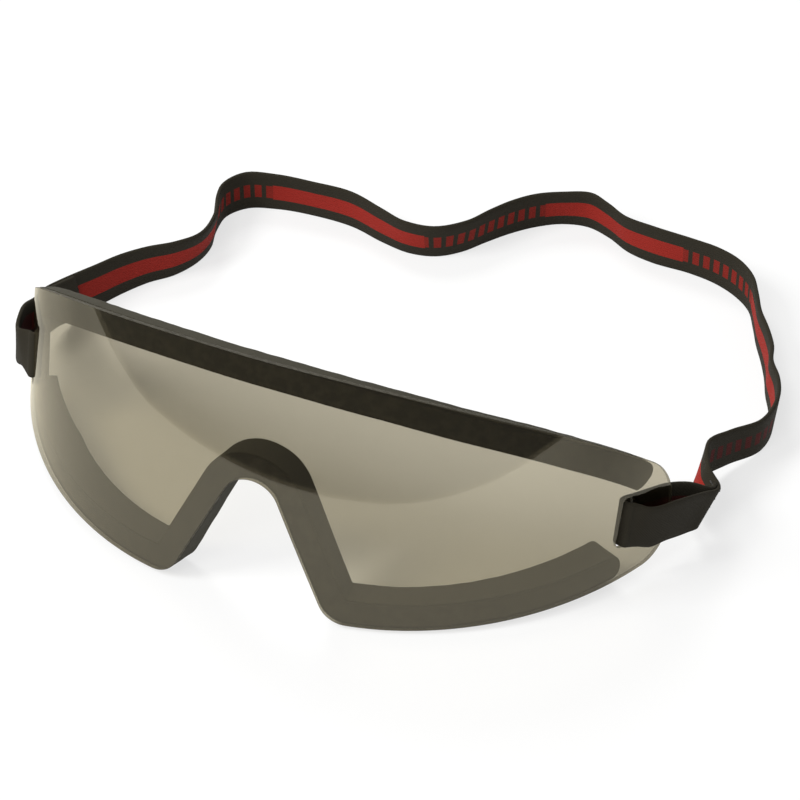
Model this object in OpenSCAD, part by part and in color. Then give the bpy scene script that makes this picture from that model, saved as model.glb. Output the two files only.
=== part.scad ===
// Driving goggles: one bent lens sheet, a thin brow pad and a thick nose and cheek
// pad, each held by tape, and one elastic strap looped through a slot at each end.
// The goggles stand on the lower rim of the cheek pad and on the strap's edge.

/* [Lens] */
// Length of the lens along its curve, end to end
lens_len = 232; // [224:1:244]
// Height of the lens at its middle, cheek lobes to brow
lens_h = 70; // [66:1:78]
// Thickness of the lens sheet
lens_t = 1; // [0.7:0.1:1.4]
// Radius of the curve across the face
face_radius = 123; // [110:1:140]
// Radius of the curve at the temples
temple_radius = 87; // [80:1:100]
// Half length of the flatter curve across the face
face_half = 32; // [24:1:60]
// How far the lens leans back as it stands, degrees
lens_lean = 10; // [6:0.5:13]
// How far the brow line drops from the middle to an end
brow_drop = 33.2; // [30:0.2:36]
// How far the lower rim rises from a lobe to an end
rim_rise = 14.2; // [12:0.1:16]
// Radius of the upper corner at each end
upper_r = 8; // [3:0.5:8]
// Radius of the lower corner at each end
lower_r = 8.5; // [8:0.5:10]

/* [Nose notch] */
// Height of the notch over the cheek lobes
notch_h = 35.5; // [30:0.5:38]
// Radius of the arch over the nose
arch_r = 8; // [6:0.5:10]
// Slope of the notch's sides, degrees
flank_angle = 64; // [60:1:68]
// Radius of the corner of each cheek lobe
lobe_r = 8; // [7.6:0.2:11]

/* [Foam pads] */
// Width of the brow pad
brow_pad_w = 8; // [7:0.5:10]
// How far the brow pad lies below the brow line
brow_pad_inset = 0.6; // [0.2:0.1:1.5]
// Thickness of the brow pad
brow_pad_t = 3.5; // [2.5:0.5:6]
// Distance from the middle to each end of the brow pad
brow_pad_end = 110; // [100:0.5:110]
// Width of the nose and cheek pad
cheek_pad_w = 7; // [5:0.5:7.5]
// Thickness of the nose and cheek pad
cheek_pad_t = 9; // [6:0.5:12]
// Distance from the middle to each end of the cheek pad
cheek_pad_end = 101; // [92:0.5:103]
// Thickness of the tape under a pad
tape_t = 0.2; // [0.1:0.05:0.4]
// How far the tape stays inside the edge of its pad
tape_inset = 0.6; // [0.3:0.1:1]

/* [Strap] */
// Width of the elastic
strap_w = 12.7; // [10:0.1:13.2]
// Thickness of the elastic
strap_t = 1.1; // [0.8:0.1:1.3]
// Length of the slot in the lens
slot_l = 14.2; // [13.8:0.1:15]
// Width of the slot in the lens
slot_w = 3; // [2.6:0.1:4]
// Distance from the middle to the slot, along the lens
slot_at = 97.5; // [95:0.5:99]
// Height of the slot's middle over the cheek lobes
slot_v = 26.5; // [25.5:0.1:28]
// Lean of the slot towards the end of the lens, degrees
slot_tilt = 9; // [4:1:12]
// Length of each sewn loop, from the slot to its seam
loop_len = 30; // [24:0.5:34]
// How far the outer ply of a loop bows away from the lens
loop_bow = 1.6; // [0.5:0.1:3]
// Length of one stitch of a bar tack
stitch_l = 1.8; // [1:0.1:2.5]
// Number of stitches across a bar tack
stitch_count = 5; // [3:1:6]

/* [Hidden] */

half_len = lens_len / 2;
bond_gap = 0.05;          // between bent faces that are stuck together
loop_gap = 0.3;           // between the strap and what it goes round
swing_gap = 0.6;          // between a loop's seam and the end of the band
brow_power = 2.3;         // the brow line falls ever faster towards the temples
rim_power = 1.65;         // and so does the rise of the lower rim
pad_round = 1.2;          // rounding of a pad's free edges
loop_curl_from = 8;       // past this distance from the slot a loop curls inward
loop_curl_radius = 120;
stitch_w = 0.5;
stitch_proud = 0.3;
tack_rows = [3, 6];       // distances of the two stitch rows from the seam

// The band's lower edge as it lies: x, y behind the lens, height over the table.
// Both ends start at the loops, so those two points are worked out below.
band_route = [
    [-98, 82, 2.6], [-94, 92.5, 1.6], [-84.5, 111, 0.8], [-76, 123, 0], [-74, 133, 0],
    [-77, 143, 0], [-78, 152, 0], [-73, 158, 0], [-60, 161, 0], [-42.5, 161.5, 0],
    [-26, 156, 0], [-15, 157.5, 0], [-9, 164, 0], [-1, 176, 0], [9.5, 186, 0],
    [21, 188, 0], [33, 182, 0], [49.5, 180, 0], [67, 176, 0], [75.5, 168, 0],
    [82.5, 153.5, 0.2], [92, 136, 0.4], [97.5, 125, 0.7], [98.5, 117, 1], [96.5, 109.5, 1.3],
    [92.5, 101, 1.9], [89.5, 92.5, 2.7], [90, 84, 3.6]];

// Outline of the flat lens: s runs along it from the middle, v is the height
flank_run = (notch_h - (arch_r + lobe_r) * (1 - cos(flank_angle))) / tan(flank_angle);
arch_end = arch_r * sin(flank_angle);
flank_end = arch_end + flank_run;
lobe_s = flank_end + lobe_r * sin(flank_angle);

function corner_cut(a, r) =
    a > half_len - r ? r - sqrt(max(0, pow(r, 2) - pow(a - half_len + r, 2))) : 0;
function low_v(s) = let (a = abs(s))
    a < arch_end ? notch_h - arch_r + sqrt(pow(arch_r, 2) - pow(a, 2)) :
    a < flank_end ? notch_h - arch_r * (1 - cos(flank_angle)) - (a - arch_end) * tan(flank_angle) :
    a < lobe_s ? lobe_r - sqrt(pow(lobe_r, 2) - pow(lobe_s - a, 2)) :
    rim_rise * pow((a - lobe_s) / (half_len - lobe_s), rim_power) + corner_cut(a, lower_r);
function high_v(s) = let (a = abs(s))
    lens_h - brow_drop * pow(a / half_len, brow_power) - corner_cut(a, upper_r);

// The bend: how far the sheet has turned at s, and where it is seen from above
function turn(s) = let (a = min(abs(s), half_len))
    sign(s) * (min(a, face_half) / face_radius + max(0, a - face_half) / temple_radius) * 180 / PI;
function plan(s) =
    let (a = min(abs(s), half_len), t = turn(a), j = turn(min(a, face_half)), past = abs(s) - a)
    [sign(s) * (face_radius * sin(j) + temple_radius * (sin(t) - sin(j)) + past * cos(t)),
     face_radius * (1 - cos(j)) + temple_radius * (cos(j) - cos(t)) + past * sin(t)];
// A point at s, v and depth d behind the front face, on the lens as it leans
function leant(s, v, d) = let (p = plan(s), t = turn(s), y = p[1] + d * cos(t))
    [p[0] - d * sin(t), y * cos(lens_lean) + v * sin(lens_lean),
     v * cos(lens_lean) - y * sin(lens_lean)];

// Direction into the sheet, square to the rim or to the brow line
function rim_in(s) = let (e = 0.05, rise = (low_v(s + e) - low_v(s - e)) / (2 * e))
    [-rise, 1] / norm([rise, 1]);
function brow_in(s) = let (e = 0.05, rise = (high_v(s + e) - high_v(s - e)) / (2 * e))
    [rise, -1] / norm([rise, 1]);
// One section of a pad or tape: from its edge on the outline to its inner edge
function section(s, v, way, w0, w1, d0, d1, r) =
    let (m = min(r, (w1 - w0) / 2.2, (d1 - d0) / 2), b = m * 0.3,
         edge = [[w0, d0], [w0, d1 - m], [w0 + b, d1 - b], [w0 + m, d1],
                 [w1 - m, d1], [w1 - b, d1 - b], [w1, d1 - m], [w1, d0]])
    [for (p = edge) leant(s + way[0] * p[0], v + way[1] * p[0], p[1])];

// The cheek pad's back edge is what the goggles stand on
tape_from = lens_t + bond_gap;
pad_from = tape_from + tape_t + bond_gap;
stand_h = -min([for (a = [0:0.5:cheek_pad_end - cheek_pad_w],
                     p = section(a, low_v(a), rim_in(a), 0, cheek_pad_w,
                                 pad_from, pad_from + cheek_pad_t, pad_round)) p[2]]);
front_y = min([for (a = [0:1:lobe_s + 20]) leant(a, low_v(a), 0)[1]]);
route_x = [for (p = band_route) p[0]];
route_y = [for (p = band_route) p[1]];
shift = [-(max(route_x) + min(route_x)) / 2, -(max(route_y) + strap_t / 2 + front_y) / 2, stand_h];
function place(s, v, d) = leant(s, v, d) + shift;

module at_lens(s, v) {
    translate(shift) rotate([-lens_lean, 0, 0]) translate([plan(s)[0], plan(s)[1], v])
        rotate([0, 0, turn(s)]) children();
}

// A solid skin over rings of equally many points, closed by a fan at each end
module skin(rings) {
    n = len(rings[0]);
    last = (len(rings) - 1) * n;
    sides = [for (i = [0:len(rings) - 2], k = [0:n - 1]) let (a = i * n + k, b = i * n + (k + 1) % n)
             each [[a, b + n, b], [a, a + n, b + n]]];
    caps = [for (k = [1:n - 2]) each [[0, k, k + 1], [last, last + k + 1, last + k]]];
    polyhedron(points = [for (r = rings) each r], faces = concat(sides, caps));
}

function mirrored(list) = concat([for (i = [len(list) - 1:-1:1]) -list[i]], list);
// Places along half the lens where a pad or the sheet has a ring
notch_steps = concat(
    [for (i = [0:6]) arch_r * sin(flank_angle * i / 6)],
    [for (i = [1:6]) arch_end + flank_run * i / 6],
    [for (i = [1:8]) lobe_s - lobe_r * sin(flank_angle * (1 - i / 8))]);
function steps_on(from, to, pitch) = let (n = ceil((to - from) / pitch))
    [for (i = [1:n]) from + (to - from) * i / n];
end_steps = concat(
    [for (i = [1:3]) half_len - lower_r + (lower_r - upper_r) * i / 3],
    [for (i = [1:8]) half_len - upper_r * (1 - sin(90 * i / 8))]);

// LENS: one die-cut sheet of tinted plastic, bent round the face
module lens() {
    side = concat(notch_steps, steps_on(lobe_s, half_len - lower_r, 4), end_steps);
    rings = [for (s = mirrored(side))
             [place(s, low_v(s), 0), place(s, low_v(s), lens_t),
              place(s, high_v(s), lens_t), place(s, high_v(s), 0)]];
    color([0.62, 0.6, 0.52, 0.6]) difference() {
        skin(rings);
        for (dir = [-1, 1]) slot_cut(dir);
    }
}

module slot_cut(dir) {
    straight = slot_l - slot_w;
    at_lens(dir * slot_at, slot_v) rotate([0, dir * slot_tilt, 0]) rotate([90, 0, 0])
        linear_extrude(height = 6 * lens_t, center = true) {
            square([slot_w, straight], center = true);
            for (end = [-1, 1]) translate([0, end * straight / 2]) circle(d = slot_w, $fn = 32);
        }
}

// A pad's end is round: the last bit of it narrows towards the middle of its width
function narrowing(a, end, w) = let (past = max(0, a - end + w / 2))
    w / 2 * (1 - sqrt(max(0.06, 1 - pow(2 * past / w, 2))));
function round_end(end, w) = [for (i = [0:5]) end - w / 2 + w / 2 * sin(90 * i / 5)];

module rim_strip(end, w, inset, d0, d1, r) {
    side = concat(notch_steps, steps_on(lobe_s, end - w / 2 - 1, 4), round_end(end, w));
    skin([for (s = mirrored(side)) let (cut = inset + narrowing(abs(s), end, w))
          [for (p = section(s, low_v(s), rim_in(s), cut, w - cut, d0, d1, r)) p + shift]]);
}

module brow_strip(end, w, inset, d0, d1, r) {
    side = concat([0], steps_on(0, end - w / 2 - 1, 3), round_end(end, w));
    skin([for (s = mirrored(side))
          let (cut = inset + narrowing(abs(s), end, w), from = brow_pad_inset + cut,
               ring = section(s, high_v(s), brow_in(s), from, brow_pad_inset + w - cut, d0, d1, r))
          [for (i = [len(ring) - 1:-1:0]) ring[i] + shift]]);
}

// BROW TAPE: double-sided tape that holds the brow pad
module brow_tape() {
    color([0.2, 0.2, 0.19])
        brow_strip(brow_pad_end - tape_inset, brow_pad_w, tape_inset, tape_from, tape_from + tape_t, 0.02);
}

// BROW PAD: a thin strip of black foam along the top
module brow_pad() {
    color([0.13, 0.13, 0.11])
        brow_strip(brow_pad_end, brow_pad_w, 0, pad_from, pad_from + brow_pad_t, pad_round);
}

// CHEEK TAPE: double-sided tape under the nose and cheek pad
module cheek_tape() {
    color([0.2, 0.2, 0.19])
        rim_strip(cheek_pad_end - tape_inset, cheek_pad_w, tape_inset, tape_from, tape_from + tape_t, 0.02);
}

// CHEEK PAD: one thick foam strip from cheek to cheek over the nose
module cheek_pad() {
    color([0.2, 0.2, 0.17])
        rim_strip(cheek_pad_end, cheek_pad_w, 0, pad_from, pad_from + cheek_pad_t, pad_round);
}

// Strap loops. A loop lies along u, away from the slot, with w across the elastic.
bar_from = slot_w / 2 + loop_gap;
bend_r = lens_t / 2 + loop_gap + strap_t / 2;
ply_gap = 0.1;
function curl(u) = let (c = max(0, u - loop_curl_from)) c * c / (2 * loop_curl_radius);
// Depth of the middle of a ply: side -1 is the outer one, 1 the inner one
function ply_depth(u, side) = let (k = min(1, u / loop_len), shut = k * k * (3 - 2 * k))
    lens_t / 2 + side * (bend_r * (1 - shut) + (strap_t + ply_gap) / 2 * shut)
    - (side < 0 ? loop_bow * sin(180 * k) : 0) + curl(u);
function loop_place(dir, u, w, d) =
    place(dir * (slot_at + u * cos(slot_tilt) + w * sin(slot_tilt)),
          slot_v - u * sin(slot_tilt) + w * cos(slot_tilt), d);
ply_steps = 10;
loop_path = concat(
    [for (i = [ply_steps:-1:1]) let (u = bar_from + (loop_len - bar_from) * i / ply_steps) [u, ply_depth(u, -1)]],
    [for (i = [0:8]) let (q = 180 * i / 8) [bar_from - bend_r * sin(q), lens_t / 2 - bend_r * cos(q)]],
    [for (i = [1:ply_steps]) let (u = bar_from + (loop_len - bar_from) * i / ply_steps) [u, ply_depth(u, 1)]]);
function path_normal(list, i) =
    let (a = list[max(0, i - 1)], b = list[min(len(list) - 1, i + 1)], t = b - a)
    [-t[1], t[0]] / norm(t);

module strap_loop(dir) {
    half = strap_w / 2;
    rings = [for (i = [0:len(loop_path) - 1])
             let (p = loop_path[i], n = path_normal(loop_path, i) * strap_t / 2)
             [loop_place(dir, p[0] + n[0], -half, p[1] + n[1]),
              loop_place(dir, p[0] + n[0], half, p[1] + n[1]),
              loop_place(dir, p[0] - n[0], half, p[1] - n[1]),
              loop_place(dir, p[0] - n[0], -half, p[1] - n[1])]];
    color([0.16, 0.16, 0.14]) skin(dir > 0 ? rings : [for (i = [len(rings) - 1:-1:0]) rings[i]]);
}

module left_strap_loop() { strap_loop(-1); }
module right_strap_loop() { strap_loop(1); }

// BAR TACKS: stitches that close each loop, seen on both of its faces
module bar_tack(dir) {
    pitch = (strap_w - 3) / (stitch_count - 1);
    color([0.1, 0.1, 0.1])
        for (row = tack_rows, face = [-1, 1], k = [0:stitch_count - 1]) {
            u = loop_len - row;
            w = (k - (stitch_count - 1) / 2) * pitch;
            slope = atan((ply_depth(u + 0.5, face) - ply_depth(u - 0.5, face)));
            d = ply_depth(u, face) + face * (strap_t / 2 + stitch_proud / 2 + 2 * bond_gap);
            at_lens(dir * (slot_at + u * cos(slot_tilt) + w * sin(slot_tilt)),
                    slot_v - u * sin(slot_tilt) + w * cos(slot_tilt))
                translate([0, d, 0]) rotate([0, dir * slot_tilt, dir * slope])
                    cube([stitch_l, stitch_proud, stitch_w], center = true);
        }
}

module left_bar_tack() { bar_tack(-1); }
module right_bar_tack() { bar_tack(1); }

// STRAP BAND: the free elastic, on its edge on the table behind the lens.
// Its ends are round about the line on which it swings against the loops.
swing_slope = (loop_len - loop_curl_from) / loop_curl_radius;
function past_seam(dir, u) =
    loop_place(dir, u, 0, lens_t / 2 + curl(loop_len) + (u - loop_len) * swing_slope);
// Seen along the swing's line, how far the point at u is from the seam's nearest edge
seam_low = loop_place(1, loop_len, -strap_w / 2, ply_depth(loop_len, 1) + strap_t / 2);
seam_high = loop_place(1, loop_len, strap_w / 2, ply_depth(loop_len, 1) + strap_t / 2);
function off_seam(u) = let (e = seam_high - seam_low, q = past_seam(1, u) - seam_low)
    (e[2] * q[1] - e[1] * q[2]) / norm([e[1], e[2]]);
swing_u = loop_len + (strap_w / 2 + swing_gap - off_seam(loop_len))
          / (off_seam(loop_len + 1) - off_seam(loop_len));
swing_right = past_seam(1, swing_u);
swing_left = past_seam(-1, swing_u);
band_mid = concat(
    [past_seam(-1, swing_u - strap_w / 2), swing_left],
    [for (p = band_route) p + [shift[0], shift[1], strap_w / 2]],
    [swing_right, past_seam(1, swing_u - strap_w / 2)]);
band_steps = 3;
function curve_at(p0, p1, p2, p3, t) =
    0.5 * ((2 * p1) + (p2 - p0) * t + (2 * p0 - 5 * p1 + 4 * p2 - p3) * t * t
           + (3 * p1 - p0 - 3 * p2 + p3) * t * t * t);
band_last = len(band_mid) - 1;
band_line = concat(
    [for (i = [0:band_last - 1], k = [0:band_steps - 1])
     let (p = curve_at(band_mid[max(0, i - 1)], band_mid[i], band_mid[i + 1],
                       band_mid[min(band_last, i + 2)], k / band_steps))
     [p[0], p[1], max(p[2], strap_w / 2)]],
    [band_mid[band_last]]);

module strap_band() {
    n = len(band_line) - 1;
    rings = [for (i = [0:n])
             let (p = band_line[i], a = band_line[max(0, i - 1)], b = band_line[min(n, i + 1)],
                  side = [a[1] - b[1], b[0] - a[0], 0], out = side / norm(side) * strap_t / 2,
                  from_pivot = min(norm(p - swing_left), norm(p - swing_right)),
                  end = p[1] < swing_left[1] ? min(0.97, from_pivot / (strap_w / 2)) : 0,
                  up = [0, 0, strap_w / 2 * sqrt(1 - end * end)])
             [p + out - up, p + out + up, p - out + up, p - out - up]];
    color([0.16, 0.16, 0.14]) skin(rings);
}

lens();
brow_tape();
brow_pad();
cheek_tape();
cheek_pad();
strap_band();
left_strap_loop();
right_strap_loop();
left_bar_tack();
right_bar_tack();
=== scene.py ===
import math

import bmesh
import bpy
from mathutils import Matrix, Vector, noise


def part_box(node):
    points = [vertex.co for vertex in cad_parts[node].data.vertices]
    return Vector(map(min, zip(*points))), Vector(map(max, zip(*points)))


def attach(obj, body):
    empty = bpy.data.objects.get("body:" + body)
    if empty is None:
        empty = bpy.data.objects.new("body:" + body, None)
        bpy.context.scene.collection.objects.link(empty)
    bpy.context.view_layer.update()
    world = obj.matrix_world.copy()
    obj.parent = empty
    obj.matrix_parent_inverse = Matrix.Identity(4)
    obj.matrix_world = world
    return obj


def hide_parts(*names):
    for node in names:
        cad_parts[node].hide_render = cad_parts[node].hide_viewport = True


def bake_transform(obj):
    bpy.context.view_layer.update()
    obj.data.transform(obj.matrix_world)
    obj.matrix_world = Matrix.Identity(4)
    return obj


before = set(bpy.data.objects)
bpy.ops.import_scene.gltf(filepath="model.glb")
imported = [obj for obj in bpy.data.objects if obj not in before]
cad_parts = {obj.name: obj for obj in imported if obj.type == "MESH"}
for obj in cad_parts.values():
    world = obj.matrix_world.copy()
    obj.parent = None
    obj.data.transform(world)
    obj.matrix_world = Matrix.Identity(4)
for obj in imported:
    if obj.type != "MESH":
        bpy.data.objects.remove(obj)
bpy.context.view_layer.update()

# CAMERA: a long lens that looks down on the front of the goggles from the right, from
# about a metre away, as the photograph was taken.
CAMERA_AZIMUTH = math.radians(24.0155)
CAMERA_ELEVATION = math.radians(38.091)
CAMERA_DISTANCE = 1.0723
CAMERA_AIM = Vector((0.02335, -0.05038, 0.04236))
CAMERA_FOCAL_LENGTH, CAMERA_SENSOR = 190.88, 36
to_camera = Vector((math.sin(CAMERA_AZIMUTH) * math.cos(CAMERA_ELEVATION),
                    -math.cos(CAMERA_AZIMUTH) * math.cos(CAMERA_ELEVATION),
                    math.sin(CAMERA_ELEVATION)))
camera_data = bpy.data.cameras.new("camera")
camera_data.lens, camera_data.sensor_width = CAMERA_FOCAL_LENGTH, CAMERA_SENSOR
camera_data.clip_start = 0.05
camera = bpy.data.objects.new("camera", camera_data)
camera.location = CAMERA_AIM + to_camera * CAMERA_DISTANCE
camera.rotation_euler = to_camera.to_track_quat("Z", "Y").to_euler()
bpy.context.scene.collection.objects.link(camera)
bpy.context.scene.camera = camera


# TABLE, BACKGROUND AND LAMPS: a white table in a white room, lit softly from above. The
# lens also mirrors what lies round it: white close by, and dark past the table's edge.
class Value:
    """A node's output socket. Arithmetic on it adds Math nodes to the same tree."""

    def __init__(self, tree, socket):
        self.tree, self.socket = tree, socket

    def math(self, operation, *terms, clamp=False):
        made = self.tree.nodes.new("ShaderNodeMath")
        made.operation, made.use_clamp = operation, clamp
        for slot, term in zip(made.inputs, terms):
            if isinstance(term, Value):
                self.tree.links.new(term.socket, slot)
            else:
                slot.default_value = term
        return Value(self.tree, made.outputs[0])

    def __add__(self, other):
        return self.math("ADD", self, other)

    def __sub__(self, other):
        return self.math("SUBTRACT", self, other)

    def __rsub__(self, other):
        return self.math("SUBTRACT", other, self)

    def __mul__(self, other):
        return self.math("MULTIPLY", self, other)

    def __truediv__(self, other):
        return self.math("DIVIDE", self, other)

    __radd__, __rmul__ = __add__, __mul__

    def clamped(self):
        return self.math("ADD", self, 0.0, clamp=True)

    def absolute(self):
        return self.math("ABSOLUTE", self)

    def fraction(self):
        return self.math("FRACT", self)

    def sine(self):
        return self.math("SINE", self)

    def falls_off(self):
        """1 at zero, and smoothly down to nothing."""
        return self.math("POWER", math.exp(-1), self)

    def above(self, edge, softness):
        """0 up to the edge and 1 past it, over the softness."""
        return ((self - edge) / softness).clamped()


def add_node(tree, kind, settings=None, output=0, **sockets):
    """Adds a node: its settings first, then a value or a link for each socket named."""
    made = tree.nodes.new("ShaderNode" + kind)
    for name, value in (settings or {}).items():
        setattr(made, name, value)
    for name, value in sockets.items():
        slot = made.inputs[int(name[1:]) if name[1:].isdigit() else name.replace("_", " ")]
        if isinstance(value, Value):
            tree.links.new(value.socket, slot)
        elif isinstance(value, tuple) and len(value) == 3 and slot.type == "RGBA":
            slot.default_value = (*value, 1)
        else:
            slot.default_value = value
    return Value(tree, made.outputs[output])


def mixed(tree, share, first, second):
    """One colour that turns into another as the share goes from 0 to 1."""
    return add_node(tree, "Mix", {"data_type": "RGBA"}, output=2, Factor=share, _6=first, _7=second)


def new_material(name):
    """A material with an empty node tree, and that tree."""
    made = bpy.data.materials.new(name)
    made.use_nodes = True
    made.node_tree.nodes.clear()
    return made, made.node_tree


def close_tree(tree, shader, kind="OutputMaterial"):
    end = tree.nodes.new("ShaderNode" + kind)
    tree.links.new(shader.socket, end.inputs["Surface"])


def mesh_object(name, mesh):
    made = bpy.data.objects.new(name, mesh)
    bpy.context.scene.collection.objects.link(made)
    return made


bpy.context.scene.view_settings.view_transform = "Standard"
WHITE, BLACK = (1.0, 1.0, 1.0), (0.0, 0.0, 0.0)
FLOOR_COLOUR = (0.9, 0.9, 0.89)
FLOOR_RADIUS = 6.0
FLOOR_GLOW = 0.7
floor_bm = bmesh.new()
bmesh.ops.create_circle(floor_bm, cap_ends=True, segments=64, radius=FLOOR_RADIUS)
floor_mesh = bpy.data.meshes.new("floor")
floor_bm.to_mesh(floor_mesh)
floor = mesh_object("floor", floor_mesh)
floor_material, tree = new_material("white_table")
seen = add_node(tree, "LightPath", output="Is Camera Ray")
mirrored = add_node(tree, "LightPath", output="Is Glossy Ray")
passed = add_node(tree, "LightPath", output="Is Transmission Ray")
# Through the lens the table shows its own light, with the soft shadow of the goggles
through = add_node(tree, "LightPath", output="Transparent Depth")
shows_white = (seen * (1 - through.clamped()) + mirrored + passed).clamped()
table_top = add_node(tree, "BsdfPrincipled", Base_Color=FLOOR_COLOUR, Roughness=0.8)
# Painted shade in what the lens mirrors: for mirrored rays alone the table's glow dims in patches beside
# the goggles: (x, y, size, depth)
MIRRORED_SHADE_PATCHES = ((-0.168, -0.072, 0.045, 0.65), (-0.138, -0.015, 0.030, 0.55),
               (0.165, -0.050, 0.055, 0.50))
where = add_node(tree, "NewGeometry", output="Position")
floor_x, floor_y = (add_node(tree, "SeparateXYZ", Vector=where, output=k) for k in range(2))
mirror_light = 1.0
for patch_x, patch_y, size, depth in MIRRORED_SHADE_PATCHES:
    off_x, off_y = (floor_x - patch_x) / size, (floor_y - patch_y) / size
    mirror_light = mirror_light - (off_x * off_x + off_y * off_y).falls_off() * depth
glow_colour = mixed(tree, mirrored * (1 - mirror_light), WHITE, BLACK)
glow = add_node(tree, "Emission", Color=glow_colour, Strength=1.0)
close_tree(tree, add_node(tree, "MixShader", Fac=shows_white * FLOOR_GLOW, _1=table_top, _2=glow))
floor_mesh.materials.append(floor_material)

ROOM_GREY, ROOM_LIGHT = (0.86, 0.86, 0.86), 0.3
world = bpy.data.worlds.new("white_room")
bpy.context.scene.world = world
world.use_nodes = True
tree = world.node_tree
tree.nodes.clear()
seen = add_node(tree, "LightPath", output="Is Camera Ray")
mirrored = add_node(tree, "LightPath", output="Is Glossy Ray")
passed = add_node(tree, "LightPath", output="Is Transmission Ray")
shows_white = (seen + mirrored + passed).clamped()
lit_by = add_node(tree, "Background", Color=ROOM_GREY, Strength=ROOM_LIGHT)
backdrop = add_node(tree, "Background", Color=WHITE, Strength=1.0)
close_tree(tree, add_node(tree, "MixShader", Fac=shows_white, _1=lit_by, _2=backdrop), "OutputWorld")

LAMPS_AIM = Vector((0, 0, 0.03))
for name, place, width, watts in (("key_lamp", (-0.70, -0.70, 0.99), 0.5, 14.5),
                                  ("front_lamp", (0.0, -0.90, 1.07), 0.5, 5.6),
                                  ("back_lamp", (-0.64, 0.64, 1.07), 0.5, 8.1)):
    lamp_data = bpy.data.lights.new(name, "AREA")
    lamp_data.shape, lamp_data.size, lamp_data.energy = "SQUARE", width, watts
    lamp = bpy.data.objects.new(name, lamp_data)
    lamp.location = place
    lamp.rotation_euler = (Vector(place) - LAMPS_AIM).to_track_quat("Z", "Y").to_euler()
    lamp.visible_glossy = False
    bpy.context.scene.collection.objects.link(lamp)

# The dark surround: a ring past the white table's edge, met by mirrored rays alone
TABLE_EDGE_CENTRE = (-0.004, 0.025)
TABLE_EDGE_RADIUS = 0.213
SURROUND_RADIUS = 1.1
SURROUND_GLOW = 0.15
RING_HEIGHT = 0.0004
RING_SIDES = 128
ring_bm = bmesh.new()
inner, outer = [], []
for k in range(RING_SIDES):
    turn_by = 2 * math.pi * k / RING_SIDES
    for ring, radius in ((inner, TABLE_EDGE_RADIUS), (outer, SURROUND_RADIUS)):
        ring.append(ring_bm.verts.new((TABLE_EDGE_CENTRE[0] + radius * math.cos(turn_by),
                                       TABLE_EDGE_CENTRE[1] + radius * math.sin(turn_by), RING_HEIGHT)))
for k in range(RING_SIDES):
    follow = (k + 1) % RING_SIDES
    ring_bm.faces.new((inner[k], outer[k], outer[follow], inner[follow]))
ring_mesh = bpy.data.meshes.new("dark_surround")
ring_bm.to_mesh(ring_mesh)
surround = mesh_object("dark_surround", ring_mesh)
surround.visible_camera = surround.visible_diffuse = False
surround.visible_shadow = surround.visible_transmission = False
surround_material, tree = new_material("dark_surround")
close_tree(tree, add_node(tree, "Emission", Color=WHITE, Strength=SURROUND_GLOW))
ring_mesh.materials.append(surround_material)


# LENS: one sheet of smoke-tinted plastic 1 mm thick, die-cut flat with a nose notch and
# a slot near each end, then bent round the face and held so by the strap. It bends more
# at the temples than in front.
LENS_HALF = 0.116
LENS_HEIGHT = 0.070
LENS_THICK = 0.001
FACE_RADIUS = 0.123
TEMPLE_RADIUS = 0.087
FACE_HALF = 0.032
LENS_LEAN = math.radians(10)
BROW_DROP, BROW_POWER = 0.0332, 2.3
RIM_RISE, RIM_POWER = 0.0142, 1.65
UPPER_CORNER, LOWER_CORNER = 0.008, 0.0085
NOTCH_HEIGHT = 0.0355
ARCH_RADIUS = LOBE_RADIUS = 0.008
FLANK = math.radians(64)
SLOT_WIDTH, SLOT_LENGTH = 0.003, 0.0142
# The left slot and the right one: place along the sheet and up it, and tilt
SLOT_PLACES = {-1: (0.0975, 0.0265, math.radians(9)), 1: (0.0994, 0.0270, math.radians(5))}
EDGE_ROUNDING = 0.00018
# How far apart points lie along the sheet, and how close two columns of them may come
PITCH, COLUMN_GAP, SLOT_END_GAP = 0.0015, 0.00025, 0.0002
TINT, MIRROR_TINT = (0.44, 0.405, 0.313), (0.95, 0.89, 0.72)
PLASTIC_IOR = 1.7
EDGE_COLOUR, EDGE_WORN = (0.085, 0.080, 0.064), (0.130, 0.122, 0.100)
EDGE_CLEAR, EDGE_SOLID = (0.75, 0.72, 0.62), 0.55

flank_run = (NOTCH_HEIGHT - (ARCH_RADIUS + LOBE_RADIUS) * (1 - math.cos(FLANK))) / math.tan(FLANK)
arch_end = ARCH_RADIUS * math.sin(FLANK)
flank_end = arch_end + flank_run
lobe_at = flank_end + LOBE_RADIUS * math.sin(FLANK)


def corner_cut(a, radius):
    """How much a round corner takes off the outline's height at a."""
    past = max(0.0, a - LENS_HALF + radius)
    return radius - math.sqrt(max(0.0, radius ** 2 - past ** 2))


def rim_height(s):
    """Height of the lens's lower outline, with the nose notch, at s along the sheet."""
    a = abs(s)
    if a < arch_end:
        return NOTCH_HEIGHT - ARCH_RADIUS + math.sqrt(ARCH_RADIUS ** 2 - a ** 2)
    if a < flank_end:
        return NOTCH_HEIGHT - ARCH_RADIUS * (1 - math.cos(FLANK)) - (a - arch_end) * math.tan(FLANK)
    if a < lobe_at:
        return LOBE_RADIUS - math.sqrt(max(0.0, LOBE_RADIUS ** 2 - (lobe_at - a) ** 2))
    return RIM_RISE * ((a - lobe_at) / (LENS_HALF - lobe_at)) ** RIM_POWER + corner_cut(a, LOWER_CORNER)


def brow_height(s):
    a = abs(s)
    return LENS_HEIGHT - BROW_DROP * (a / LENS_HALF) ** BROW_POWER - corner_cut(a, UPPER_CORNER)


def turned(s):
    """How far the bent sheet has turned at s, in radians."""
    a = min(abs(s), LENS_HALF)
    return math.copysign(min(a, FACE_HALF) / FACE_RADIUS + max(0.0, a - FACE_HALF) / TEMPLE_RADIUS, s)


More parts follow.
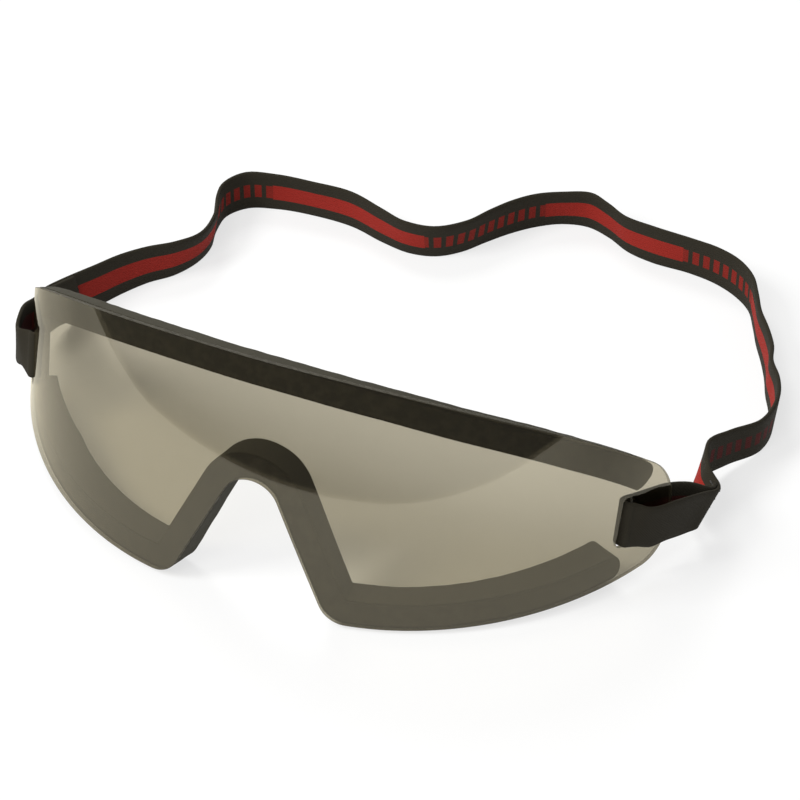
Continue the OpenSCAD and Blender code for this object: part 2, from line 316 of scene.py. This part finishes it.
def leant(s, v, depth):
    """A point at s along the sheet, v up it and depth behind its front, as the lens leans."""
    a = min(abs(s), LENS_HALF)
    t, j = turned(a), min(a, FACE_HALF) / FACE_RADIUS
    past = abs(s) - a
    x = FACE_RADIUS * math.sin(j) + TEMPLE_RADIUS * (math.sin(t) - math.sin(j)) + past * math.cos(t)
    y = FACE_RADIUS * (1 - math.cos(j)) + TEMPLE_RADIUS * (math.cos(j) - math.cos(t)) + past * math.sin(t)
    x, y = math.copysign(x - depth * math.sin(t), s), y + depth * math.cos(t)
    return Vector((x, y * math.cos(LENS_LEAN) + v * math.sin(LENS_LEAN),
                   v * math.cos(LENS_LEAN) - y * math.sin(LENS_LEAN)))


def spaced(start, end):
    """Evenly spaced places after start, up to end."""
    count = max(1, math.ceil((end - start) / PITCH))
    return [start + (end - start) * (k + 1) / count for k in range(count)]


def both_sides(half):
    """The places of a right half, from 0 on, mirrored onto the left half as well."""
    return [-s for s in reversed(half[1:])] + half


def round_off(end, radius):
    """Places that close up towards an end, for a round corner there."""
    return [end - radius * (1 - math.sin(math.pi / 2 * k / 12)) for k in range(13)]


notch_places = ([arch_end * math.sin(math.pi / 2 * k / 16) for k in range(17)]
                + spaced(arch_end, flank_end)
                + [lobe_at - LOBE_RADIUS * math.sin(FLANK * (1 - k / 16)) for k in range(1, 17)])
low_places = both_sides(notch_places + spaced(lobe_at, LENS_HALF - LOWER_CORNER)
                        + round_off(LENS_HALF, LOWER_CORNER)[1:])
high_places = both_sides([0.0] + spaced(0.0, LENS_HALF - UPPER_CORNER)
                         + round_off(LENS_HALF, UPPER_CORNER)[1:])
cad_low, cad_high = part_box("lens")
flat_outline = ([(s, rim_height(s)) for s in low_places]
                + [(s, brow_height(s)) for s in reversed(high_places)])
loose = [leant(s, v, d) for s, v in flat_outline for d in (0, LENS_THICK)]
lens_shift = Vector(((cad_low[0] + cad_high[0]) / 2,
                     cad_low[1] - min(p.y for p in loose),
                     cad_high[2] - max(p.z for p in loose)))


# As it stands, the lens is tipped a little towards the right
LENS_ROLL = math.radians(0.5)


def at_lens(s, v, depth):
    """The same point on the lens in its place on the table."""
    p = leant(s, v, depth) + lens_shift
    return Vector((p.x + p.z * math.sin(LENS_ROLL), p.y,
                   p.z * math.cos(LENS_ROLL) - p.x * math.sin(LENS_ROLL)))


def slot_outline(side):
    """The slot's outline on the flat sheet; its top leans towards the end of the lens."""
    middle_s, middle_v, tilt = SLOT_PLACES[side]
    points = []
    for end in (1, -1):
        for k in range(17):
            a = math.pi * k / 16 + (0 if end > 0 else math.pi)
            across = SLOT_WIDTH / 2 * math.cos(a)
            along = SLOT_WIDTH / 2 * math.sin(a) + end * (SLOT_LENGTH - SLOT_WIDTH) / 2
            points.append((side * (middle_s + across * math.cos(tilt) + along * math.sin(tilt)),
                           middle_v + along * math.cos(tilt) - across * math.sin(tilt)))
    return points


def span_at(outline, s):
    """The lowest and highest point of a closed outline at s, or nothing outside it."""
    met = []
    for (s0, v0), (s1, v1) in zip(outline, outline[1:] + outline[:1]):
        if min(s0, s1) <= s <= max(s0, s1) and s0 != s1:
            met.append(v0 + (v1 - v0) * (s - s0) / (s1 - s0))
    return (min(met), max(met)) if met else None


slots = (slot_outline(-1), slot_outline(1))
slot_ends = [pick(s for s, v in outline) for outline in slots for pick in (min, max)]
wanted = sorted(low_places + high_places + [s for outline in slots for s, v in outline])
columns = [-LENS_HALF]
for s in wanted:
    near_end = min(abs(s - end) for end in slot_ends)
    roomy = s - columns[-1] > COLUMN_GAP and LENS_HALF - s > COLUMN_GAP and near_end > SLOT_END_GAP
    if s in slot_ends or roomy:
        columns.append(s)
columns.append(LENS_HALF)
sheet_bm = bmesh.new()
earlier, earlier_slot = None, False
for s in columns:
    span = span_at(slots[0] if s < 0 else slots[1], s)
    heights = [rim_height(s), *(span or ()), brow_height(s)]
    if span and span[1] - span[0] < 1e-7:
        heights.pop(1)
    column = [sheet_bm.verts.new((s, 0, v)) for v in heights]
    if earlier:
        if span and earlier_slot:
            sheet_bm.faces.new((earlier[0], column[0], column[1], earlier[1]))
            sheet_bm.faces.new((earlier[-2], column[-2], column[-1], earlier[-1]))
        else:
            sheet_bm.faces.new(earlier[::-1] + column)
    earlier, earlier_slot = column, bool(span)
doubled = bmesh.ops.extrude_face_region(sheet_bm, geom=sheet_bm.faces[:], use_keep_orig=True)
for item in doubled["geom"]:
    if isinstance(item, bmesh.types.BMVert):
        item.co.y = LENS_THICK
bmesh.ops.recalc_face_normals(sheet_bm, faces=sheet_bm.faces[:])
# The rims of both faces, along the outline and round the slots, lose their sharpness
cut_edges = [e for e in sheet_bm.edges if len(e.link_faces) == 2 and e.calc_face_angle() > 1.0
             and abs(e.verts[0].co.y - e.verts[1].co.y) < 1e-6]
bmesh.ops.bevel(sheet_bm, geom=cut_edges, offset=EDGE_ROUNDING, segments=2, affect="EDGES", profile=0.5)
flat_layer = sheet_bm.verts.layers.float_vector.new("flat")
for v in sheet_bm.verts:
    v[flat_layer] = v.co
for face in sheet_bm.faces:
    face.smooth = True
    face.material_index = 0 if abs(face.normal.y) > 0.98 else 1
for v in sheet_bm.verts:
    v.co = at_lens(v.co.x, v.co.z, v.co.y)
for e in sheet_bm.edges:
    e.smooth = e.calc_face_angle(0) < math.radians(20)
lens_mesh = bpy.data.meshes.new("tinted_lens")
sheet_bm.to_mesh(lens_mesh)
tinted_lens = mesh_object("tinted_lens", lens_mesh)

lens_material, tree = new_material("smoke_tinted_plastic")
pane_tint = tuple(math.sqrt(c) for c in TINT)
clear = add_node(tree, "BsdfTransparent", Color=pane_tint)
polish = add_node(tree, "BsdfGlossy", Color=MIRROR_TINT, Roughness=0.03)
# Both faces mirror as a thin sheet does, so a ray meets the same step from either side
behind = add_node(tree, "NewGeometry", output=6)
mirrors = add_node(tree, "Fresnel", IOR=PLASTIC_IOR + behind * (1 / PLASTIC_IOR - PLASTIC_IOR))
close_tree(tree, add_node(tree, "MixShader", Fac=mirrors, _1=clear, _2=polish))
lens_mesh.materials.append(lens_material)

# The cut edge lets less light through than the faces, and has the fine marks of the die
edge_material, tree = new_material("cut_edge_of_lens")
spot = add_node(tree, "Attribute", {"attribute_name": "flat"}, output="Vector")
die_marks = add_node(tree, "TexNoise", Vector=spot, Scale=900.0, Detail=2.0)
edge_shade = mixed(tree, die_marks.above(0.35, 0.3), EDGE_COLOUR, EDGE_WORN)
edge_clear = add_node(tree, "BsdfTransparent", Color=EDGE_CLEAR)
edge_solid = add_node(tree, "BsdfPrincipled", Base_Color=edge_shade, Roughness=0.6, Specular_IOR_Level=0.25)
close_tree(tree, add_node(tree, "MixShader", Fac=EDGE_SOLID, _1=edge_clear, _2=edge_solid))
lens_mesh.materials.append(edge_material)
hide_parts("lens")
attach(tinted_lens, "lens_set")


# FOAM PADS: strips die-cut from sheets of soft black closed-cell foam, stuck inside the
# lens: a thin one along the brow, and a thick one from cheek to cheek over the nose.
BROW_PAD_WIDTH, BROW_PAD_THICK = 0.0078, 0.0035
BROW_PAD_LEFT, BROW_PAD_RIGHT = 0.1115, 0.1105
# The brow pad was stuck on a little askew: how far below the brow line it lies, along it
BROW_INSETS = [(-0.120, -0.0001), (-0.060, -0.0001), (0.0, 0.00025), (0.030, 0.0008),
               (0.055, 0.0012), (0.080, 0.0011), (0.105, 0.0007), (0.120, 0.0006)]
CHEEK_PAD_WIDTH, CHEEK_PAD_THICK = 0.0070, 0.0090
CHEEK_PAD_LEFT, CHEEK_PAD_RIGHT = 0.1060, 0.1015
PAD_FROM = LENS_THICK + 0.0003
PAD_EDGE = 0.0006
LEFT_CORNER, RIGHT_CORNER = 0.0014, 0.0032
# The thick pad is pressed thinner towards its left end: by this share, from here, over this
CHEEK_SQUEEZE, SQUEEZED_FROM, SQUEEZED_OVER = 0.38, 0.080, 0.026
# The cut foam's surface ripples: how far, how many waves to the metre, and fully past where
FOAM_RIPPLE, RIPPLE_SCALE, RIPPLE_FROM = 0.00012, 260, 0.001
RIPPLE_SEED = 7
FOAM_COLOUR = (0.060, 0.056, 0.043)
FOAM_PORE = (0.036, 0.034, 0.026)


noise.seed_set(RIPPLE_SEED)


def inward(height, s, sign):
    """The direction into the sheet on the flat, square to an outline at s."""
    rise = (height(s + 5e-5) - height(s - 5e-5)) / 1e-4
    return Vector((-sign * rise, sign)) / math.hypot(rise, 1)


def pad_section(width, thick):
    """A pad's cross-section, from its outer edge inwards and from front to back."""
    r = PAD_EDGE
    section = [(0.0, 0.0)]
    section += [(0.0, k * (thick - r) / 5) for k in range(1, 6)]
    section += [(r - r * math.cos(a), thick - r + r * math.sin(a)) for a in (0.4, 0.8, 1.2)]
    section += [(r + k * (width - 2 * r) / 6, thick) for k in range(7)]
    section += [(width - r + r * math.sin(a), thick - r + r * math.cos(a)) for a in (0.4, 0.8, 1.2)]
    section += [(width, (thick - r) * (1 - k / 5)) for k in range(6)]
    section += [(width * (1 - k / 6), 0.0) for k in range(1, 6)]
    return section


def strip_places(half, left, right):
    """Places along a strip, from its left end to its right one, closer at the ends."""
    reach = []
    for end, corner in ((left, LEFT_CORNER), (right, RIGHT_CORNER)):
        reach.append(half + spaced(half[-1], end - corner) + round_off(end, corner)[1:])
    return [-s for s in reversed(reach[0][1:])] + reach[1]


def skin(bm, rings):
    """Closes a row of rings of points into one solid tube with flat ends."""
    count = len(rings[0])
    for first, second in zip(rings, rings[1:]):
        for k in range(count):
            follow = (k + 1) % count
            bm.faces.new((first[k], first[follow], second[follow], second[k]))
    bm.faces.new(rings[0][::-1])
    bm.faces.new(rings[-1])
    bmesh.ops.recalc_face_normals(bm, faces=bm.faces[:])


def strip_on_lens(name, height, sign, places, section, front, inset, squeeze, ripple):
    """A strip that follows an outline of the lens, cut square with round corners."""
    strip_bm = bmesh.new()
    flat_layer = strip_bm.verts.layers.float_vector.new("flat")
    width = max(across for across, depth in section)
    rings = []
    for s in places:
        way = inward(height, s, sign)
        end, corner = (places[-1], RIGHT_CORNER) if s > 0 else (-places[0], LEFT_CORNER)
        corner = min(corner, width * 0.45)
        past = max(0.0, abs(s) - end + corner)
        share = 1 - 2 * (corner - math.sqrt(corner ** 2 - min(past, corner) ** 2)) / width
        ring = []
        for across, depth in section:
            across = inset(s) + width / 2 + (across - width / 2) * share
            flat = Vector((s + way.x * across, height(s) + way.y * across, front + depth * squeeze(s)))
            wave = noise.noise_vector(flat * RIPPLE_SCALE) * ripple * min(1.0, depth / RIPPLE_FROM)
            flat += Vector((wave.x, wave.y, min(0.0, wave.z)))
            made = strip_bm.verts.new(at_lens(flat.x, flat.y, flat.z))
            # The foam gives where it meets the table
            made.co.z = max(made.co.z, 0.0)
            made[flat_layer] = flat
            ring.append(made)
        rings.append(ring)
    skin(strip_bm, rings)
    for face in strip_bm.faces:
        face.smooth = True
    for e in strip_bm.edges:
        e.smooth = e.calc_face_angle(0) < math.radians(50)
    strip_mesh = bpy.data.meshes.new(name)
    strip_bm.to_mesh(strip_mesh)
    return mesh_object(name, strip_mesh)


def brow_inset(s):
    """How far below the brow line the thin pad lies at s."""
    for (s0, inset0), (s1, inset1) in zip(BROW_INSETS, BROW_INSETS[1:]):
        if s <= s1:
            share = (s - s0) / (s1 - s0)
            return inset0 + (inset1 - inset0) * share * share * (3 - 2 * share)


def no_inset(s):
    return 0.0


def unpressed(s):
    return 1.0


def pressed(s):
    """The share of its thickness that the thick pad keeps at s."""
    return 1 - CHEEK_SQUEEZE * min(1.0, max(0.0, (-s - SQUEEZED_FROM) / SQUEEZED_OVER))


brow_foam = strip_on_lens("brow_foam", brow_height, -1,
                          strip_places([0.0], BROW_PAD_LEFT, BROW_PAD_RIGHT),
                          pad_section(BROW_PAD_WIDTH, BROW_PAD_THICK),
                          PAD_FROM, brow_inset, unpressed, FOAM_RIPPLE)
cheek_foam = strip_on_lens("cheek_foam", rim_height, 1,
                           strip_places(notch_places, CHEEK_PAD_LEFT, CHEEK_PAD_RIGHT),
                           pad_section(CHEEK_PAD_WIDTH, CHEEK_PAD_THICK),
                           PAD_FROM, no_inset, pressed, FOAM_RIPPLE)

foam_material, tree = new_material("black_foam")
spot = add_node(tree, "Attribute", {"attribute_name": "flat"}, output="Vector")
cells = add_node(tree, "TexVoronoi", {"feature": "F1"}, Vector=spot, Scale=2300.0)
clouds = add_node(tree, "TexNoise", Vector=spot, Scale=120.0, Detail=3.0)
pores = 1 - cells.above(0.12, 0.3)
foam_shade = mixed(tree, (pores * 0.7 + clouds * 0.35).clamped(), FOAM_COLOUR, FOAM_PORE)
foam_relief = add_node(tree, "Bump", Strength=0.2, Distance=0.00012, Height=cells + clouds * 0.6)
close_tree(tree, add_node(tree, "BsdfPrincipled", Base_Color=foam_shade, Roughness=0.9,
                         Specular_IOR_Level=0.15, Normal=foam_relief))
for foam, node in ((brow_foam, "brow_pad"), (cheek_foam, "cheek_pad")):
    foam.data.materials.append(foam_material)
    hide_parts(node)
    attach(foam, "lens_set")


# TAPES: thin double-sided tape between each pad and the lens, cut a little narrower than
# the foam. Through the lens its dull dark glue shows in place of the foam's front face.
TAPE_FROM, TAPE_THICK = LENS_THICK + 0.00005, 0.0002
TAPE_INSET = 0.0006
TAPE_COLOUR, TAPE_STREAK = (0.050, 0.048, 0.042), (0.075, 0.072, 0.064)


def tape_section(width):
    """A tape's flat cross-section, as pad_section gives a pad's."""
    return ([(k * width / 6, TAPE_THICK) for k in range(7)]
            + [(k * width / 6, 0.0) for k in range(6, -1, -1)])


tape_material, tree = new_material("double_sided_tape")
spot = add_node(tree, "Attribute", {"attribute_name": "flat"}, output="Vector")
glue = add_node(tree, "TexNoise", Vector=spot, Scale=400.0, Detail=2.0)
tape_shade = mixed(tree, glue.above(0.4, 0.25), TAPE_COLOUR, TAPE_STREAK)
close_tree(tree, add_node(tree, "BsdfPrincipled", Base_Color=tape_shade, Roughness=0.8,
                         Specular_IOR_Level=0.1))
for name, node, height, sign, half, left, right, width, inset in (
        ("brow_tape_strip", "brow_tape", brow_height, -1, [0.0], BROW_PAD_LEFT, BROW_PAD_RIGHT,
         BROW_PAD_WIDTH, brow_inset),
        ("cheek_tape_strip", "cheek_tape", rim_height, 1, notch_places, CHEEK_PAD_LEFT, CHEEK_PAD_RIGHT,
         CHEEK_PAD_WIDTH, no_inset)):
    tape = strip_on_lens(name, height, sign, strip_places(half, left - TAPE_INSET, right - TAPE_INSET),
                         tape_section(width - 2 * TAPE_INSET), TAPE_FROM,
                         lambda s, inset=inset: inset(s) + TAPE_INSET, unpressed, 0.0)
    tape.data.materials.append(tape_material)
    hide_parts(node)
    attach(tape, "lens_set")


# STRAP: one length of black elastic with a red stripe woven into one face. Each end goes
# through its slot, folds back round the end of the lens and is sewn to itself. The band
# between the two seams lies on its edge on the table.
STRAP_WIDTH, STRAP_THICK = 0.0127, 0.0011
STRAP_EDGE = 0.0004
PLY_GAP = 0.0001
# The strap's way through its slots (mm): along the lens from the slot's middle, and depth
LEFT_PASS = [(1.8, -0.85), (1.1, -0.7), (0.6, -0.25), (0.4, 0.5), (-0.1, 1.3), (-0.9, 2.0), (-1.1, 2.9),
             (-0.2, 3.6), (1.8, 3.8)]
RIGHT_PASS = [(1.5, -0.85), (0.9, -0.75), (0.4, -0.25), (0.2, 0.5), (0.0, 1.2), (-0.1, 1.9), (0.2, 2.6),
              (0.9, 3.0), (2.0, 3.2)]
# How far up its slot each end has slipped (mm), and how far it leans in it
LEFT_SEAT, RIGHT_SEAT = (0.75, math.radians(9)), (-0.55, math.radians(3))
# Edges of the loops, from the slot to the seam: along the lens, up it and behind its face
# (mm), for the lower edge and then for the upper one
LEFT_OUTER = [((101.5, 21.6, -2.0), (101.8, 32.9, -3.3)), ((106.5, 19.8, -3.4), (106.5, 31.4, -4.2)),
              ((112.0, 19.3, -4.0), (112.0, 31.8, -3.9)), ((117.0, 19.5, -3.2), (117.0, 32.0, -3.4)),
              ((122.0, 18.4, -1.6), (122.5, 31.0, -1.8)), ((126.5, 16.8, -0.8), (128.0, 29.4, -1.0))]
RIGHT_OUTER = [((103.6, 19.6, -1.4), (103.9, 31.8, -3.0)), ((107.0, 18.5, -1.8), (107.5, 31.1, -3.4)),
               ((112.5, 18.6, -2.0), (112.5, 31.0, -3.7)), ((117.5, 18.0, -2.0), (118.5, 30.0, -3.5)),
               ((121.5, 17.6, -2.0), (125.5, 28.3, -2.7)), ((124.8, 17.4, -2.0), (132.5, 26.4, -2.0))]
LEFT_INNER = [((101.5, 20.1, 3.6), (102.5, 32.6, 3.6)), ((110.0, 18.8, 3.0), (111.0, 31.4, 3.0)),
              ((118.0, 18.0, 2.4), (119.0, 30.6, 2.4))]
RIGHT_INNER = [((102.5, 20.0, 3.4), (103.5, 32.4, 3.4)), ((110.0, 19.7, 3.0), (111.0, 32.3, 3.0)),
               ((116.0, 19.1, 2.6), (117.5, 31.6, 2.6)), ((121.0, 18.1, 1.2), (125.0, 29.6, 1.4))]
# The free band, left to right (mm): its lower edge, and how far its upper edge leans
BAND = [((-96.5, -13.0, 3.5), (-2.0, 0.0)), ((-94.5, -4.5, 1.5), (-2.5, 0.0)),
        ((-91.5, 4.0, 0.5), (-1.5, 0.5)), ((-88.5, 12.0, 0.0), (-0.5, 0.5)),
        ((-84.5, 19.0, 0.0), (0.5, -0.5)), ((-79.5, 25.0, 0.0), (1.5, -1.0)),
        ((-76.5, 32.5, 0.0), (3.0, -1.0)), ((-76.0, 40.5, 0.0), (2.0, 1.0)),
        ((-78.0, 48.0, 0.0), (1.0, 1.0)), ((-78.5, 56.0, 0.0), (0.5, -0.5)),
        ((-74.5, 62.5, 0.0), (0.0, -0.5)), ((-67.0, 65.5, 0.0), (0.5, -1.0)),
        ((-55.5, 67.0, 0.0), (0.5, -1.5)), ((-43.5, 66.5, 0.0), (0.0, -1.0)),
        ((-32.0, 63.0, 0.0), (0.0, -1.5)), ((-24.0, 61.5, 0.0), (-0.5, -2.5)),
        ((-16.5, 63.0, 0.0), (1.0, -3.0)), ((-10.5, 68.0, 0.0), (2.5, -1.5)),
        ((-6.0, 75.0, 0.0), (2.0, -1.0)), ((-1.5, 81.5, 0.0), (1.5, -1.0)),
        ((4.0, 87.5, 0.0), (1.0, -1.5)), ((10.5, 92.0, 0.0), (1.0, -2.0)),
        ((18.0, 93.5, 0.0), (0.5, -1.0)), ((25.5, 91.0, 0.0), (-1.0, -1.0)),
        ((32.5, 87.0, 0.0), (-1.0, -1.0)), ((40.5, 85.0, 0.0), (0.5, -0.5)),
        ((52.5, 84.5, 0.0), (0.5, -1.0)), ((60.0, 83.0, 0.0), (0.5, -0.5)),
        ((67.5, 79.5, 0.0), (0.5, 0.0)), ((73.5, 74.5, 0.0), (0.0, 0.0)),
        ((77.5, 67.5, 0.0), (0.0, 0.0)), ((81.0, 60.5, 0.0), (0.0, 0.0)),
        ((85.0, 53.5, 0.0), (0.5, 0.5)), ((88.5, 46.5, 0.0), (1.0, 0.5)),
        ((91.0, 40.5, 0.0), (0.5, 0.5)), ((94.0, 34.5, 0.0), (1.5, 0.5)),
        ((97.0, 26.5, 0.0), (1.5, 0.5)), ((97.0, 16.5, 0.5), (1.5, -1.0)),
        ((92.0, 6.5, 2.0), (1.0, -1.0)), ((88.5, -3.5, 3.5), (1.5, 1.0)),
        ((89.0, -14.5, 3.5), (4.0, 4.0))]
LEFT_TAIL, RIGHT_TAIL = 0.023, 0.004
MM = 0.001


def slot_turn(side):
    """The strap's edges from the outside of the lens, through the slot, to the inside."""
    passing, (lift, tilt) = (LEFT_PASS, LEFT_SEAT) if side < 0 else (RIGHT_PASS, RIGHT_SEAT)
    middle_s, middle_v = SLOT_PLACES[side][:2]
    edges = (lift * MM - STRAP_WIDTH / 2, lift * MM + STRAP_WIDTH / 2)
    return [tuple(at_lens(side * (middle_s + u * MM * math.cos(tilt) + w * math.sin(tilt)),
                          middle_v - u * MM * math.sin(tilt) + w * math.cos(tilt), depth * MM)
                  for w in edges) for u, depth in passing]


def on_lens(pairs, side):
    """A loop's edge points, given in mm on the sheet, in their place on the table."""
    return [tuple(at_lens(side * s * MM, v * MM, d * MM) for s, v, d in pair) for pair in pairs]


def band_pair(low, lean):
    """The free band's lower and upper edge at one place, the strap's width apart."""
    rise = math.sqrt(STRAP_WIDTH ** 2 / MM ** 2 - lean[0] ** 2 - lean[1] ** 2)
    low = Vector(low)
    return low * MM, (low + Vector((*lean, rise))) * MM


def middle(pair):
    return (pair[0] + pair[1]) / 2


def smooth_pair(pairs, lengths, i, share):
    """The pair of edge points between stations i and i + 1, on a smooth curve."""
    blended = []
    for edge in (0, 1):
        points = [pair[edge] for pair in pairs]

        def slope(j):
            if j == 0 or j == len(points) - 1:
                k = min(j, len(points) - 2)
                return (points[k + 1] - points[k]) / lengths[k]
            before = (points[j] - points[j - 1]) / lengths[j - 1]
            after = (points[j + 1] - points[j]) / lengths[j]
            return (before * lengths[j] + after * lengths[j - 1]) / (lengths[j] + lengths[j - 1])
        h, t = lengths[i], share
        blended.append(points[i] * (2 * t ** 3 - 3 * t ** 2 + 1) + slope(i) * h * (t ** 3 - 2 * t ** 2 + t)
                       + points[i + 1] * (3 * t ** 2 - 2 * t ** 3) + slope(i + 1) * h * (t ** 3 - t ** 2))
    return blended


def smooth_path(pairs):
    """Many pairs of edge points on a smooth curve through the stations."""
    lengths = [(middle(b) - middle(a)).length for a, b in zip(pairs, pairs[1:])]
    path = []
    for i, length in enumerate(lengths):
        count = max(2, round(length / PITCH))
        path += [smooth_pair(pairs, lengths, i, k / count) for k in range(count)]
    return path + [list(pairs[-1])]


def beside(path, start, length, step):
    """Pairs on the inner face of a path, from index start on, for the sewn-down tail."""
    pairs, gone, i = [], 0.0, start
    while gone < length:
        travel = middle(path[i + step]) - middle(path[i])
        across = path[i][1] - path[i][0]
        under = (travel * step).cross(across).normalized() * (STRAP_THICK + PLY_GAP)
        pairs.append((path[i][0] + under, path[i][1] + under))
        gone += travel.length
        i += step
    return pairs


core = (slot_turn(-1)[:1] + on_lens(LEFT_OUTER, -1) + [band_pair(*entry) for entry in BAND]
        + on_lens(reversed(RIGHT_OUTER), 1) + slot_turn(1)[:1])
core_path = smooth_path(core)


def nearest(pair):
    """The index on the core's path that is nearest to a pair of edge points."""
    return min(range(len(core_path)), key=lambda i: (middle(core_path[i]) - middle(pair)).length)


left_seam, right_seam = nearest(core[len(LEFT_OUTER)]), nearest(core[-1 - len(RIGHT_OUTER)])
left_tail = beside(core_path, left_seam, LEFT_TAIL, 1)
right_tail = beside(core_path, right_seam, RIGHT_TAIL, -1)
strap_path = smooth_path(left_tail[::-1][::2] + on_lens(reversed(LEFT_INNER), -1) + slot_turn(-1)[::-1]
                         + core[1:-1] + slot_turn(1) + on_lens(RIGHT_INNER, 1) + right_tail[::2])

half_thick = STRAP_THICK / 2
rounding = STRAP_EDGE / STRAP_WIDTH
face_spots = [(k / 8 - 0.5) * (1 - 2 * rounding) for k in range(9)]
strap_section = ([(a, 1.0) for a in face_spots] + [(0.5, 0.45), (0.5, -0.45)]
                 + [(a, -1.0) for a in reversed(face_spots)] + [(-0.5, -0.45), (-0.5, 0.45)])
strap_bm = bmesh.new()
weave_layer = strap_bm.verts.layers.float_vector.new("weave")
rings, along = [], 0.0
for i, (low, high) in enumerate(strap_path):
    before, after = strap_path[max(0, i - 1)], strap_path[min(len(strap_path) - 1, i + 1)]
    outward = (middle(after) - middle(before)).cross(high - low).normalized()
    along += (middle(strap_path[i]) - middle(before)).length
    ring = []
    for a, side in strap_section:
        made = strap_bm.verts.new((low + high) / 2 + (high - low) * a + outward * side * half_thick)
        made[weave_layer] = (along, a * STRAP_WIDTH, side)
        ring.append(made)
    rings.append(ring)
skin(strap_bm, rings)
for face in strap_bm.faces:
    face.smooth = len(face.verts) == 4
strap_mesh = bpy.data.meshes.new("elastic_strap")
strap_bm.to_mesh(strap_mesh)
elastic_strap = mesh_object("elastic_strap", strap_mesh)

STRIPE_WIDTH = 0.0051
# Where the stripe breaks up into a row of dashes, along the strap (m)
DASHED = [(0.1655, 0.1895), (0.2395, 0.2775), (0.3240, 0.3530), (0.4070, 0.4340)]
# A dash's pitch (m), the share of it that the dash fills, and half its height by the stripe
DASH_PITCH, DASH_SPAN, DASH_REACH = 0.0034, (0.16, 0.76), 0.42
STRAP_BLACK, STRAP_RED = (0.025, 0.022, 0.0155), (0.26, 0.020, 0.014)
DASH_RED, DIM_RED = (0.19, 0.017, 0.012), (0.070, 0.013, 0.012)
# Painted shade: inside the loops, in the strap's folded ends, the stripe is painted dark as it lies in
# shadow there (m along the strap)
LOOP_ENDS = (0.080, 0.457)
LOOP_SHADE_RED = (0.055, 0.014, 0.012)
# The weave's relief: radians of its waves to the metre, across the strap and along it
RIBS, PICKS = 9000.0, 7000.0
strap_material, tree = new_material("woven_elastic")
weave = add_node(tree, "Attribute", {"attribute_name": "weave"}, output="Vector")
along, across, side = (add_node(tree, "SeparateXYZ", Vector=weave, output=k) for k in range(3))
in_row = 0.0
for start, end in DASHED:
    in_row = in_row + along.above(start, 0.0002) * (1 - along.above(end, 0.0002))
step, off_middle = (along / DASH_PITCH).fraction(), across.absolute()
dash = (step.above(DASH_SPAN[0], 0.05) * (1 - step.above(DASH_SPAN[1], 0.05))
        * (1 - off_middle.above(STRIPE_WIDTH * DASH_REACH, 0.0001)))
stripe = (1 - off_middle.above(STRIPE_WIDTH / 2, 0.00008)) * (1 - in_row)
face_in, face_out = side.above(0.6, 0.1), 1 - side.above(-0.7, 0.1)
# Painted shade: the stripe turns a dark shaded red inside the loops
folded = 1 - along.above(LOOP_ENDS[0], 0.003) * (1 - along.above(LOOP_ENDS[1], 0.003))
loop_shaded_red = mixed(tree, folded, STRAP_RED, LOOP_SHADE_RED)
shade = mixed(tree, stripe * face_in, STRAP_BLACK, loop_shaded_red)
shade = mixed(tree, dash * in_row * face_in, shade, DASH_RED)
shade = mixed(tree, dash * in_row * face_out, shade, DIM_RED)
crossings = (across * RIBS).sine() * (along * PICKS).sine()
strap_relief = add_node(tree, "Bump", Strength=0.4, Distance=0.0001, Height=crossings)
close_tree(tree, add_node(tree, "BsdfPrincipled", Base_Color=shade, Roughness=0.8,
                         Specular_IOR_Level=0.12, Normal=strap_relief))
strap_mesh.materials.append(strap_material)
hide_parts("strap_band", "left_strap_loop", "right_strap_loop")
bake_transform(elastic_strap)


# BAR TACKS: two rows of short black stitches through the strap and its folded end, just
# past each loop, which hold the loop shut. They show on both faces.
STITCH_LENGTH, STITCH_RADIUS = 0.0018, 0.00017
STITCHES = 5
TACK_ROWS, TACK_MARGIN = (0.0024, 0.0046), 0.0015
THREAD_COLOUR, THREAD_SHEEN = (0.014, 0.013, 0.011), (0.024, 0.022, 0.019)


def stitch(tack_bm, centre, forward, across, out):
    """One stitch: a short thread that comes up, runs along the strap and dives again."""
    rings = []
    for k in range(7):
        share = k / 6 * 2 - 1
        core_point = centre + forward * share * STITCH_LENGTH / 2 - out * STITCH_RADIUS * share ** 4
        spokes = [across * math.cos(math.pi * j / 4) + out * math.sin(math.pi * j / 4) for j in range(8)]
        rings.append([tack_bm.verts.new(core_point + spoke * STITCH_RADIUS) for spoke in spokes])
    skin(tack_bm, rings)


thread_material, tree = new_material("sewing_thread")
spot = add_node(tree, "TexCoord", output="Object")
# Painted sheen: lighter diagonal bands along the thread's twist
twist_sheen = add_node(tree, "TexWave", {"bands_direction": "DIAGONAL"}, output="Fac", Vector=spot, Scale=1500.0)
thread_shade = mixed(tree, twist_sheen, THREAD_COLOUR, THREAD_SHEEN)
close_tree(tree, add_node(tree, "BsdfPrincipled", Base_Color=thread_shade, Roughness=0.5))
for name, node, seam, way in (("left_stitches", "left_bar_tack", left_seam, 1),
                              ("right_stitches", "right_bar_tack", right_seam, -1)):
    tack_bm = bmesh.new()
    for row in TACK_ROWS:
        i, gone = seam, 0.0
        while gone < row:
            gone += (middle(core_path[i + way]) - middle(core_path[i])).length
            i += way
        forward = (middle(core_path[i + way]) - middle(core_path[i])).normalized()
        low, high = core_path[i]
        across = (high - low).normalized()
        inner = (forward * way).cross(across).normalized()
        place = middle(core_path[i]) - forward * (gone - row)
        for k in range(STITCHES):
            at = place + across * (STRAP_WIDTH - 2 * TACK_MARGIN) * (k / (STITCHES - 1) - 0.5)
            stitch(tack_bm, at - inner * STRAP_THICK / 2, forward, across, -inner)
            stitch(tack_bm, at + inner * (STRAP_THICK * 1.5 + PLY_GAP), forward, across, inner)
    for face in tack_bm.faces:
        face.smooth = True
    tack_mesh = bpy.data.meshes.new(name)
    tack_bm.to_mesh(tack_mesh)
    stitches = mesh_object(name, tack_mesh)
    tack_mesh.materials.append(thread_material)
    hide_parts(node)
    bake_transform(stitches)
